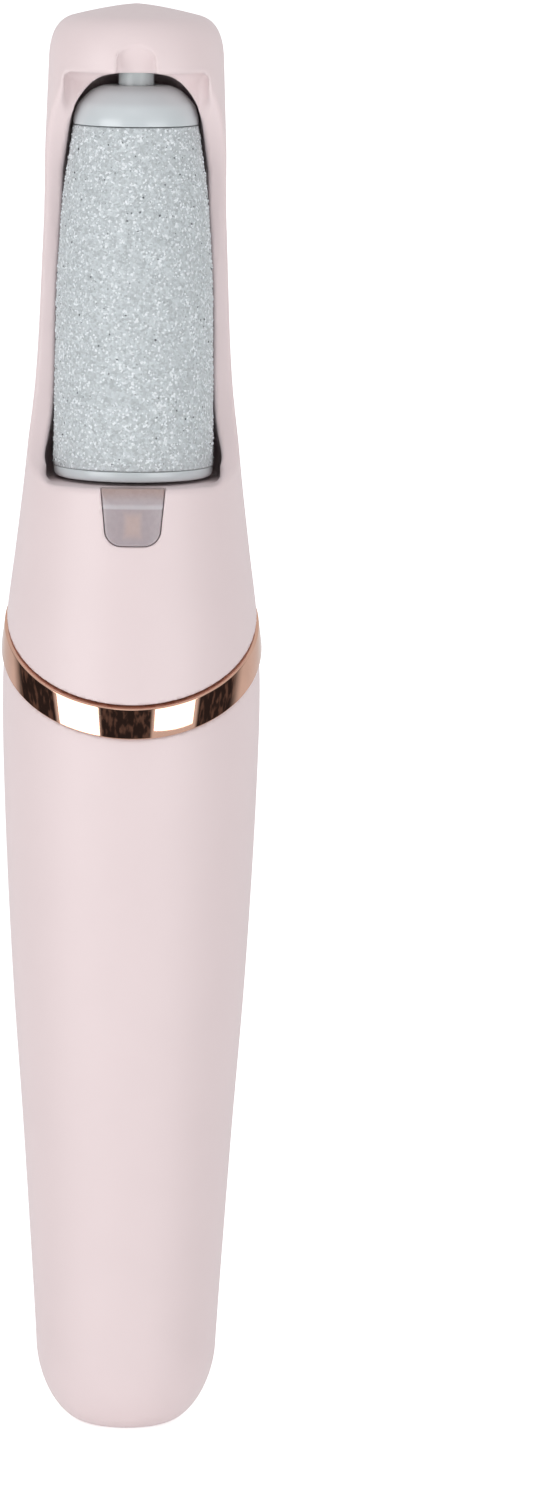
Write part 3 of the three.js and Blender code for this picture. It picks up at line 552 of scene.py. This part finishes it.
def new_material(name, colour, roughness, **sockets):
    """A Principled material, with its uniform values on the shader's own sockets."""
    material = bpy.data.materials.new(name)
    material.use_nodes = True
    shader = material.node_tree.nodes["Principled BSDF"]
    shader.inputs["Base Color"].default_value = (*colour, 1)
    shader.inputs["Roughness"].default_value = roughness
    for socket, value in sockets.items():
        shader.inputs[socket.replace("_", " ")].default_value = value
    return material, shader


class Graph:
    """Short calls for the nodes of one tree."""

    def __init__(self, tree):
        self.tree = tree

    def node(self, kind, inputs=(), **settings):
        """A new node. An input is a value, or another node's output."""
        made = self.tree.nodes.new(kind)
        for key, value in settings.items():
            setattr(made, key, value)
        for key, value in dict(inputs).items():
            self.feed(made.inputs[key], value)
        return made

    def feed(self, socket, value):
        if isinstance(value, bpy.types.NodeSocket):
            self.tree.links.new(value, socket)
        else:
            socket.default_value = value

    def place(self):
        return self.node("ShaderNodeTexCoord").outputs["Object"]

    def maths(self, operation, a, b=0.0, clamp=False):
        made = self.node("ShaderNodeMath", {0: a, 1: b}, operation=operation, use_clamp=clamp)
        return made.outputs[0]

    def noise(self, size, detail=2.0, where=None):
        """Noise whose bumps are about `size` millimetres across."""
        inputs = {"Vector": where or self.place(), "Scale": 1 / (size * MM), "Detail": detail}
        return self.node("ShaderNodeTexNoise", inputs).outputs["Fac"]

    def clouds(self, size, low, high):
        """Soft noise that drifts between two values."""
        return self.ranged(self.noise(size), 0.3, 0.7, low, high)

    def cells(self, size, output, feature="F1"):
        """One output of a Voronoi texture whose cells are about `size` millimetres across."""
        inputs = {"Vector": self.place(), "Scale": 1 / (size * MM)}
        return self.node("ShaderNodeTexVoronoi", inputs, feature=feature).outputs[output]

    def ranged(self, value, low, high, to_low, to_high):
        """A smooth step from to_low, where the value is low, to to_high, where it is high."""
        inputs = {"Value": value, 1: low, 2: high, 3: to_low, 4: to_high}
        return self.node("ShaderNodeMapRange", inputs, interpolation_type="SMOOTHSTEP").outputs[0]

    def mixed(self, share, a, b):
        """Colour a, turning into colour b as the share goes from 0 to 1."""
        made = self.node("ShaderNodeMix", data_type="RGBA")
        for socket, value in zip((made.inputs[0], made.inputs[6], made.inputs[7]), (share, a, b)):
            self.feed(socket, value)
        return made.outputs[2]

    def bump(self, height, depth):
        """A normal from a height of 0 to 1 that stands for `depth` millimetres."""
        inputs = {"Height": height, "Distance": depth * MM, "Strength": 1.0}
        return self.node("ShaderNodeBump", inputs).outputs["Normal"]


def shade(colour, by):
    """A colour made darker or lighter, with its alpha."""
    return (*[min(1, c * by) for c in colour], 1)


def plastic(name, colour, roughness, grain=0.25, depth=0.002, mottle=0.03, **sockets):
    """Moulded or sprayed plastic: a fine grain, cloudy gloss and a little unevenness of colour."""
    material, shader = new_material(name, colour, roughness, **sockets)
    g = Graph(material.node_tree)
    tone = g.mixed(g.clouds(9, 0, 1), shade(colour, 1 - mottle), shade(colour, 1 + mottle))
    g.feed(shader.inputs["Base Color"], tone)
    g.feed(shader.inputs["Roughness"], g.clouds(1.5, roughness * 0.93, roughness * 1.07))
    g.feed(shader.inputs["Normal"], g.bump(g.noise(grain, 3), depth))
    return material


def metal(name, colour, roughness, stretch=(1, 1, 1), scratch=0.002, size=0.3):
    """Metal with fine marks, drawn out along the axis that `stretch` makes small."""
    material, shader = new_material(name, colour, roughness, Metallic=1.0)
    g = Graph(material.node_tree)
    drawn = g.node("ShaderNodeMapping", {"Vector": g.place(), "Scale": stretch}).outputs["Vector"]
    marks = g.noise(size, 4, drawn)
    tone = g.mixed(g.clouds(3, 0, 1), shade(colour, 0.96), shade(colour, 1.03))
    g.feed(shader.inputs["Base Color"], tone)
    g.feed(shader.inputs["Roughness"], g.ranged(marks, 0.3, 0.7, roughness * 0.75, roughness * 1.3))
    g.feed(shader.inputs["Normal"], g.bump(marks, scratch))
    return material


def abrasive(name, colour):
    """Bonded grit with a rough relief, and a bright speck here and there.

    The attribute `tone` is 0 on the bond, up to 1 on bright grains and -1 on dark ones.
    """
    bright_grain, dark_grain = (0.93, 0.97, 1, 1), (0.1, 0.11, 0.12, 1)
    material, shader = new_material(name, colour, 0.75, Sheen_Weight=0.5, Sheen_Roughness=0.3)
    g = Graph(material.node_tree)
    grain = g.node("ShaderNodeSeparateColor", {0: g.cells(0.3, "Color")})
    plain = g.mixed(grain.outputs[0], shade(colour, 0.72), shade(colour, 1.12))
    specks = g.mixed(g.ranged(grain.outputs[2], 0.89, 0.93, 0, 0.85), plain, bright_grain)
    bond = g.mixed(g.ranged(g.noise(1.2), 0.35, 0.65, 0, 0.28), specks, shade(colour, 1.02))
    tone = g.node("ShaderNodeAttribute", attribute_name="tone").outputs["Fac"]
    lit = g.mixed(g.ranged(tone, 0.0, 1.0, 0, 1), bond, bright_grain)
    g.feed(shader.inputs["Base Color"], g.mixed(g.ranged(tone, -1.0, 0.0, 1, 0), lit, dark_grain))
    g.feed(shader.inputs["Roughness"], g.ranged(grain.outputs[1], 0.7, 1.0, 0.8, 0.45))
    height = g.maths("ADD", g.cells(0.3, "Distance"), g.noise(0.15, 2))
    g.feed(shader.inputs["Normal"], g.bump(height, 0.1))
    return material


def frosted_lens(name, colour):
    """Frosted plastic over a lamp chip, with painted light: a lighter, warmer patch where the chip would
    shine through, a bright painted highlight line, and painted shade on the darker top.
    """
    material, shader = new_material(name, colour, 0.35, Coat_Weight=0.25, Coat_Roughness=0.15)
    shader.inputs["Subsurface Weight"].default_value = 0.3
    shader.inputs["Subsurface Radius"].default_value = (1, 0.7, 0.6)
    shader.inputs["Subsurface Scale"].default_value = 1.5 * MM
    g = Graph(material.node_tree)
    x, _, z = g.node("ShaderNodeSeparateXYZ", {0: g.place()}).outputs
    # Painted light: a soft lighter, warmer patch where the lamp chip would shine through the frosting.
    across = g.maths("MULTIPLY", g.maths("ABSOLUTE", x), 1.7)
    down = g.maths("MULTIPLY", g.maths("ABSOLUTE", g.maths("SUBTRACT", z, 122.7 * MM)), 1.2)
    painted_glow_share = g.ranged(g.maths("MAXIMUM", across, down), 0.9 * MM, 2.6 * MM, 1, 0)
    painted_glow_colour = g.mixed(painted_glow_share, (*colour, 1), (0.51, 0.4, 0.38, 1))
    # Painted highlight: a bright line across the lens, just under the edge where its top slopes back.
    band = g.mixed(g.ranged(z, 124.7 * MM, 124.9 * MM, 0, 1), painted_glow_colour, (0.53, 0.5, 0.52, 1))
    # Painted shade and painted reflection: the sloped top is darker, and browner towards the sill, as it
    # faces the dark pocket.
    chamfer = g.ranged(z, 125.5 * MM, 127.3 * MM, 0, 1)
    upper = g.mixed(chamfer, (0.43, 0.37, 0.39, 1), (0.37, 0.27, 0.25, 1))
    tint = g.mixed(g.ranged(z, 125.1 * MM, 125.6 * MM, 0, 1), band, upper)
    g.feed(shader.inputs["Base Color"], g.mixed(g.clouds(0.5, 0, 0.06), tint, (0.8, 0.7, 0.7, 1)))
    g.feed(shader.inputs["Roughness"], g.clouds(0.4, 0.3, 0.42))
    g.feed(shader.inputs["Normal"], g.bump(g.noise(0.12, 2), 0.003))
    return material


def board(name, colour):
    """Solder mask with copper tracks under it, and bright pads."""
    pitch = 2.2
    material, shader = new_material(name, colour, 0.3)
    g = Graph(material.node_tree)
    track = g.ranged(g.cells(pitch, "Distance", "DISTANCE_TO_EDGE"), 0.04, 0.08, 1, 0)
    pads = g.ranged(g.cells(pitch, "Distance"), 0.14, 0.18, 1, 0)
    base = g.mixed(track, (*colour, 1), shade(colour, 1.6))
    g.feed(shader.inputs["Base Color"], g.mixed(pads, base, (0.72, 0.68, 0.6, 1)))
    g.feed(shader.inputs["Metallic"], pads)
    g.feed(shader.inputs["Normal"], g.bump(track, 0.03))
    return material


def windings(name, colour):
    """Enamelled copper wire, wound close. Painted shade darkens the grooves between turns, and painted
    highlight lightens the turns' crowns.
    """
    material, shader = new_material(name, colour, 0.3, Metallic=0.9, Coat_Weight=0.6)
    g = Graph(material.node_tree)
    wave = g.node("ShaderNodeTexWave", {"Vector": g.place(), "Scale": 160.0, "Distortion": 1.5},
                  bands_direction="Z")
    g.feed(shader.inputs["Base Color"], g.mixed(wave.outputs["Fac"], shade(colour, 0.6), shade(colour, 1.15)))
    g.feed(shader.inputs["Normal"], g.bump(wave.outputs["Fac"], 0.08))
    return material


def cell_wrap(name, colour):
    """Shrink sleeve on the cell, with shallow wrinkles."""
    material, shader = new_material(name, colour, 0.25, Coat_Weight=0.5)
    g = Graph(material.node_tree)
    drawn = g.node("ShaderNodeMapping", {"Vector": g.place(), "Scale": (1, 1, 0.2)}).outputs["Vector"]
    wrinkle = g.noise(2, 3, drawn)
    # Painted shade and painted highlight: the colour follows the wrinkles, darker in their hollows and
    # lighter on their ridges.
    g.feed(shader.inputs["Base Color"], g.mixed(wrinkle, shade(colour, 0.85), shade(colour, 1.15)))
    g.feed(shader.inputs["Roughness"], g.clouds(1, 0.2, 0.35))
    g.feed(shader.inputs["Normal"], g.bump(wrinkle, 0.03))
    return material


PINK = (0.80, 0.677, 0.68)
ROSE_GOLD = (0.72, 0.44, 0.33)
STEEL = (0.62, 0.62, 0.63)

MATERIALS = {
    "shell": plastic("shell", PINK, 0.42, grain=0.35, depth=0.0015, mottle=0.006, Specular_IOR_Level=0.4),
    "ring": metal("ring", ROSE_GOLD, 0.03, scratch=0.00005, size=2.0),
    "lens": frosted_lens("lens", (0.41, 0.35, 0.37)),
    "abrasive": abrasive("abrasive", (0.602, 0.648, 0.668)),
    "roller_plastic": plastic("roller_plastic", (0.61, 0.66, 0.68), 0.22, mottle=0.015, Coat_Weight=0.15,
                              Sheen_Weight=0.35),
    "stub": plastic("stub", (0.66, 0.71, 0.72), 0.3, mottle=0.01),
    "white_plastic": plastic("white_plastic", (0.78, 0.78, 0.74), 0.4),
    "black_plastic": plastic("black_plastic", (0.02, 0.02, 0.022), 0.45),
    "steel": metal("steel", STEEL, 0.28, stretch=(1, 1, 0.1)),
    "magnet": metal("magnet", (0.2, 0.2, 0.21), 0.5, scratch=0.01),
    "brass": metal("brass", (0.76, 0.55, 0.22), 0.25),
    "board": board("board", (0.015, 0.16, 0.06)),
    "cell": cell_wrap("cell", (0.05, 0.16, 0.42)),
    "copper": windings("copper", (0.72, 0.32, 0.16)),
    "rubber": plastic("rubber", (0.035, 0.035, 0.038), 0.75, grain=0.15, depth=0.01),
    "wire_red": plastic("wire_red", (0.5, 0.02, 0.02), 0.4),
    "wire_black": plastic("wire_black", (0.015, 0.015, 0.015), 0.4),
}


# ---- The pieces ----

def finish_cad_nodes():
    """Each carried-over CAD node takes the procedural material of its slot."""
    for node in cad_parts.values():
        for slot in node.material_slots:
            slot.material = MATERIALS[slot.material.name.split(".")[0]]


def put(piece, body, node, slot):
    """Puts a piece on its body. It stands in for a CAD node, unless it is an extra."""
    piece.data.materials.append(MATERIALS[slot])
    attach(piece, body)
    if node:
        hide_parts(node)


def shells():
    """The head housing and the handle housing."""
    head = carved("head_shell", head_field, (-18, -17.93, 91), (18, 18, 191.5), 0.36, keep=0.5)
    put(head, "handle", "head_housing", "shell")
    handle = carved("handle_shell", handle_field, (-18, -18, -1), (18, 18, 117), 0.45, keep=0.4)
    put(handle, "handle", "handle_housing", "shell")


def ring():
    """The band, slanted like the seam, with its outer face drawn in as the head narrows."""
    low = RING_TOP - RING_HEIGHT
    profile = rounded([(RING_INNER_R, low), (RING_R, low), (RING_R, RING_TOP), (RING_INNER_R, RING_TOP)],
                      (CRISP, EASED, CRISP, CRISP), 6)
    band = turned("ring_band", profile, 256)
    x, y, z = points_of(band).T
    straight = np.hypot(x, y)
    outer = straight > (RING_INNER_R + RING_R) / 2
    side = curve(smooth(RING_SIDE))
    r = straight
    for _ in range(5):
        height = z + SEAM_SLOPE * y * r / straight
        r = np.where(outer, straight - RING_R + np.interp(height, side.u, side.v), straight)
    move_points(band, np.stack([x * r / straight, y * r / straight, height], 1))
    put(band, "handle", "accent_ring", "ring")


def lens():
    """The frosted lens of the lamp under the window."""
    piece = carved("lamp_lens", lens_field, (-5, -16.5, 119), (5, -11, 129), 0.15)
    put(piece, "handle", "led_lens", "lens")


def knob():
    """The knob of the power switch, on the back."""
    piece = carved("slider_knob", knob_field, (-4, 9, 52), (4, 18, 66), 0.13)
    put(piece, "power_slider", "switch_knob", "shell")


def sleeve():
    """The abrasive sleeve, with a rough face."""
    rows, sides = ((210, 300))
    side = curve(smooth(SLEEVE))
    z = np.linspace(SLEEVE_Z0, SLEEVE_Z1, rows)
    outer = np.stack([np.interp(z, side.u, side.v), z], 1)
    bore = SLEEVE_BORE[::-1]
    piece = turned("grit_sleeve", [*outer, *bore], sides)
    draws = np.random.default_rng(5)
    place = points_of(piece).reshape(sides, -1, 3)
    rough = draws.normal(0, GRIT_DEPTH, (sides, rows)).clip(GRIT_LOW, GRIT_HIGH)
    scale = 1 + (rough - GRIT_SINK) / outer[None, :, 0]
    place[:, :rows, :2] *= scale[:, :, None]
    move_points(piece, place)
    put(piece, "roller", "abrasive_sleeve", "abrasive")


def grains():
    """Single crystals that stand proud of the sleeve and catch the light. A few of them are dark.

    Each is a small octahedron, turned at random and sunk so that no tip stands over GRAIN_STAND.
    """
    foot_margin, top_margin = 0.25, 0.15
    smallest, spread, largest = 0.07, 0.13, (0.14, 0.25)
    dark_share = 0.1
    draws = np.random.default_rng(11)
    small, large = ((5200, 1500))
    count = small + large
    side = curve(smooth(SLEEVE))
    z = draws.uniform(SLEEVE_Z0 + foot_margin, SLEEVE_Z1 - top_margin, count)
    angle = draws.uniform(-math.pi, math.pi, count)
    size = smallest + spread * draws.random(count) ** 2
    size[small:] = draws.uniform(*largest, large)
    turn, _ = np.linalg.qr(draws.normal(size=(count, 3, 3)))
    axes = turn * (size[:, None] * draws.uniform(0.7, 1.2, (count, 3)))[:, None, :]
    outward = np.stack([np.sin(angle), -np.cos(angle), np.zeros(count)], 1)
    reach = np.abs(np.einsum("nik,ni->nk", axes, outward)).max(1)
    r = np.interp(z, side.u, side.v) - np.maximum(GRIT_SINK, reach - GRAIN_STAND)
    centre = r[:, None] * outward
    centre[:, 2] = z
    ends = np.stack([axes, -axes], 3).transpose(0, 2, 3, 1)
    points = (centre[:, None, None] + ends).reshape(-1, 3)
    # Points 0 and 1 are the ends of a grain's first axis, 2 and 3 of its second and 4 and 5 of its third.
    left = np.linalg.det(turn) < 0
    faces = []
    for a in (0, 1):
        for b in (2, 3):
            for c in (4, 5):
                faces.append((a, b, c) if (a + b + c) % 2 == 0 else (a, c, b))
    faces = np.repeat(np.array(faces)[None], count, 0)
    faces[left] = faces[left][:, :, ::-1]
    faces = (faces + 6 * np.arange(count)[:, None, None]).reshape(-1, 3)
    piece = new_object("grit_grains", points, faces)
    tone = np.where(draws.random(count) < dark_share, -1.0, draws.uniform(0.4, 1.0, count))
    tone[small:] = 1.0
    piece.data.attributes.new("tone", "FLOAT", "POINT").data.foreach_set("value", tone.repeat(6))
    put(piece, "roller", None, "abrasive")


def coil():
    """The plunger's spring."""
    sides = 8
    steps = SPRING_TURNS * 36
    angle = np.linspace(0, SPRING_TURNS * 2 * math.pi, steps + 1)[:, None]
    around = np.arange(sides) * 2 * math.pi / sides
    r = SPRING_R + SPRING_WIRE_R * np.cos(around)
    z = np.linspace(SPRING_Z0, SPRING_Z1, steps + 1)[:, None] + SPRING_WIRE_R * np.sin(around)
    points = np.stack([r * np.cos(angle), r * np.sin(angle), z], 2).reshape(-1, 3)
    column = np.arange(sides)
    following = (column + 1) % sides
    quads = [np.stack([column, column + sides, following + sides, following], 1) + sides * step
             for step in range(steps)]
    end = np.array([(0, 1, 2, 3), (0, 3, 4, 7), (4, 5, 6, 7)])  # closes an eight-sided end
    piece = new_object("coil_spring", points, np.vstack([*quads, end, end[:, ::-1] + sides * steps]))
    piece.data.shade_smooth()
    put(piece, "roller", "plunger_spring", "steel")
    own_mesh(piece)


def roller_ends():
    """The roller's domed cap, the ring at its foot, and the sprung end of its axle."""
    top = [(CAP_BORE, CAP[0][1]), *smooth(CAP, 8), (CAP_BORE, CAP[-1][1])]
    put(turned("dome_cap", top, 128), "roller", "roller_top_cap", "roller_plastic")
    low, high = ROLLER_Z0, SLEEVE_Z0 - FOOT_RING_GAP
    profile = rounded([(FOOT_RING_INNER, low), (FOOT_RING_OUTER, low), (FOOT_RING_OUTER, high),
                       (FOOT_RING_INNER, high)], (FINE, 0.8, CRISP, FINE))
    put(turned("foot_ring", profile, 160), "roller", "roller_lower_ring", "roller_plastic")
    profile = rounded([(AXIS_R, COLLAR_Z0), (COLLAR_R, COLLAR_Z0), (COLLAR_R, COLLAR_Z1), (STUB_R, COLLAR_Z1),
                       (STUB_R, STUB_TOP), (AXIS_R, STUB_TOP)], (0, EASED, EASED, FINE, 0.5, 0))
    put(turned("stub_pin", profile, 96), "plunger", "axle_plunger", "stub")


finish_cad_nodes()
shells()
ring()
lens()
knob()
sleeve()
grains()
coil()
roller_ends()


# ---- Stage ----

def floor():
    """A white floor that runs on past the horizon. It glows, and brighter to the camera."""
    half, drop = 40, 0.05 * MM
    mesh = bpy.data.meshes.new("floor")
    corners = [(-half, -half, 0), (half, -half, 0), (half, half, 0), (-half, half, 0)]
    mesh.from_pydata(corners, [], [(0, 1, 2, 3)])
    made = bpy.data.objects.new("floor", mesh)
    made.location.z = -drop
    bpy.context.scene.collection.objects.link(made)
    material, shader = new_material("floor", (0.9, 0.9, 0.9), 0.9, Specular_IOR_Level=0.0)
    shader.inputs["Emission Color"].default_value = (1, 1, 1, 1)
    g = Graph(material.node_tree)
    seen = g.node("ShaderNodeLightPath").outputs["Is Camera Ray"]
    g.feed(shader.inputs["Emission Strength"], g.ranged(seen, 0.0, 1.0, 0.2, 0.6))
    mesh.materials.append(material)
    made.visible_glossy = False


AIM_HEIGHT = 0.1
# Each gap in the room runs between two azimuths in degrees, and each of its ends has its own blur.
DARK_GAPS = ((-119, -70, 9, 2), (-27, 18, 2, 2), (60, 106, 2, 9))


def softbox(name, azimuth, elevation, distance, width, height, radiance):
    """A rectangular lamp that faces the object's middle. Azimuth 0 is in front, 90 is on the right.

    Angles are in degrees and lengths in metres.
    """
    data = bpy.data.lights.new(name, "AREA")
    data.shape = "RECTANGLE"
    data.size, data.size_y = width, height
    data.energy = radiance * math.pi * width * height
    made = bpy.data.objects.new(name, data)
    a, e = math.radians(azimuth), math.radians(elevation)
    away = Vector((math.sin(a) * math.cos(e), -math.cos(a) * math.cos(e), math.sin(e)))
    made.location = Vector((0, 0, AIM_HEIGHT)) + distance * away
    made.rotation_mode = "QUATERNION"
    made.rotation_quaternion = away.to_track_quat("Z", "Y")
    made.visible_camera = False
    bpy.context.scene.collection.objects.link(made)


def studio():
    """A pale room with dark gaps at the height of the horizon, and three soft boxes round the camera."""
    view = bpy.context.scene.view_settings
    view.view_transform = "Standard"
    world = bpy.data.worlds.new("studio")
    bpy.context.scene.world = world
    world.use_nodes = True
    g = Graph(world.node_tree)
    way = g.node("ShaderNodeTexCoord").outputs["Generated"]
    x, y, z = g.node("ShaderNodeSeparateXYZ", {0: way}).outputs
    azimuth = g.maths("ARCTAN2", x, g.maths("MULTIPLY", y, -1.0))
    level = g.ranged(g.maths("ABSOLUTE", z), 0.3, 0.5, 1, 0)
    gaps = 0.0
    for low, high, low_blur, high_blur in DARK_GAPS:
        begun = [math.radians(low - low_blur), math.radians(low + low_blur)]
        ended = [math.radians(high - high_blur), math.radians(high + high_blur)]
        gap = g.maths("MULTIPLY", g.ranged(azimuth, *begun, 0, 1), g.ranged(azimuth, *ended, 1, 0))
        gaps = g.maths("ADD", gaps, gap)
    shadow = g.maths("MULTIPLY", gaps, level, clamp=True)
    clutter = g.ranged(g.noise(70, 3, way), 0.48, 0.66, 0, 1)
    dark = g.mixed(clutter, (0.03, 0.026, 0.027, 1), (0.13, 0.1, 0.09, 1))
    radiance = g.mixed(shadow, (0.765, 0.765, 0.775, 1), dark)
    seen = g.node("ShaderNodeLightPath").outputs["Is Camera Ray"]
    background = world.node_tree.nodes["Background"]
    g.feed(background.inputs["Color"], g.mixed(seen, radiance, (1, 1, 1, 1)))
    softbox("softbox_left", -47, 0, 0.9, 0.63, 0.45, 3.15)
    softbox("softbox_right", 38, -2, 0.9, 0.58, 0.3, 2.9)
    softbox("softbox_top", -4, 42, 0.9, 0.22, 0.18, 1.2)


floor()
studio()
